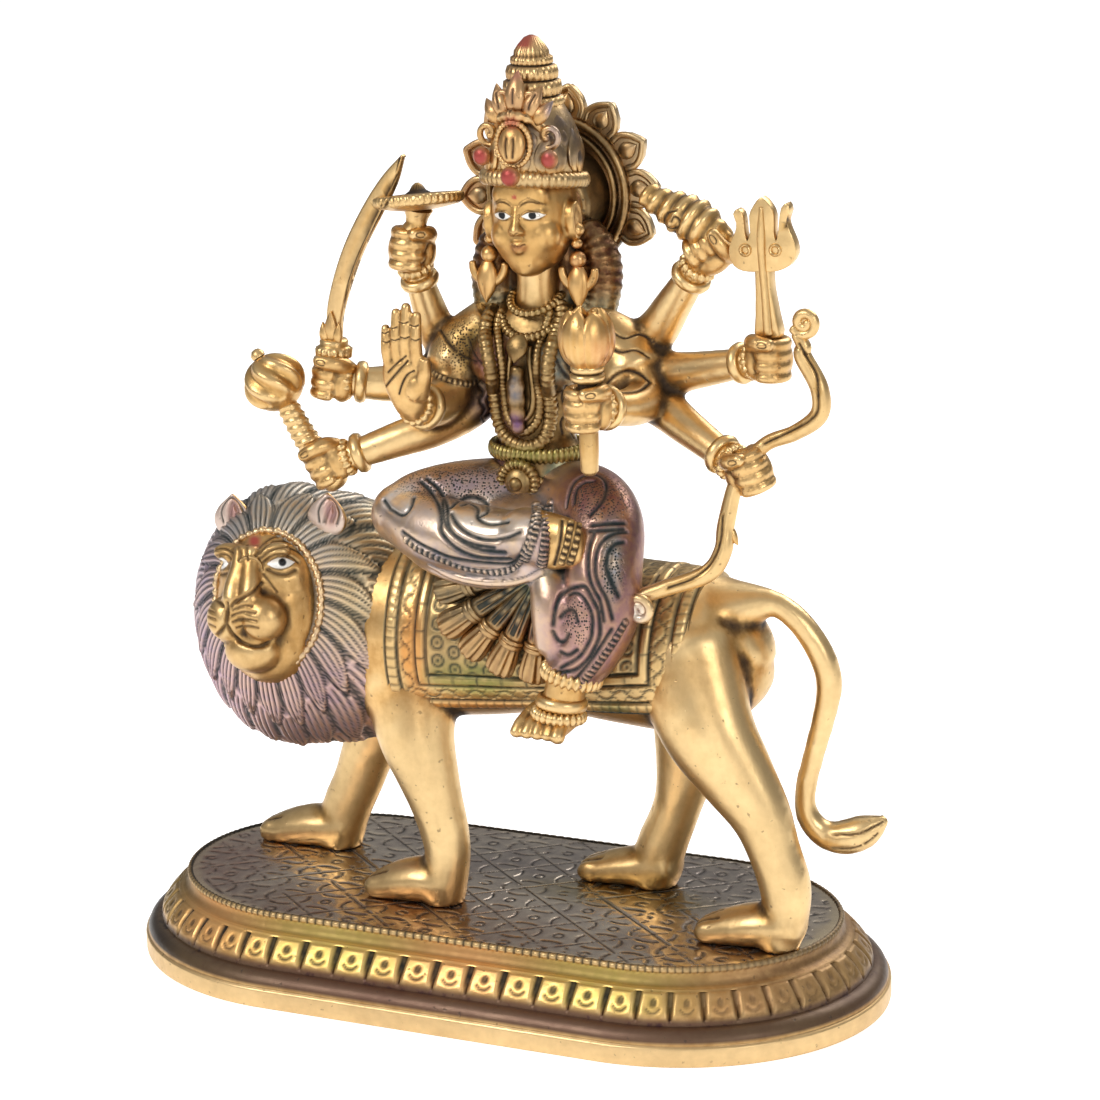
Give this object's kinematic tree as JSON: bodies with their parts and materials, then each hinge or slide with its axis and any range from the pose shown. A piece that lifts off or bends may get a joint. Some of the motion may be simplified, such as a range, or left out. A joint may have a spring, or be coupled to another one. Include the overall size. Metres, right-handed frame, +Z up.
{
  "type": "durga figure",
  "caption": "Many-armed goddess seated sideways on a striding lion with a saddle cloth, on an oval moulded plinth; cast brass with tinted lacquer.",
  "frame": {"origin": "centre of the plinth's underside", "axes": "+Z up, -Y the side the figure faces, -X the end the lion walks towards"},
  "size_m": [0.1909, 0.0946, 0.2247],
  "materials": {
    "plinth_brass": "dark glossy lacquer over brass, gold on the mouldings",
    "lion_brass": "satin brass with tinted lacquer on mane and cloth",
    "goddess_brass": "satin brass with purple, blue and red lacquer"
  },
  "bodies": {
    "root": {"plinth": "plinth_brass", "lion": "lion_brass", "goddess": "goddess_brass"}
  },
  "joints": []
}
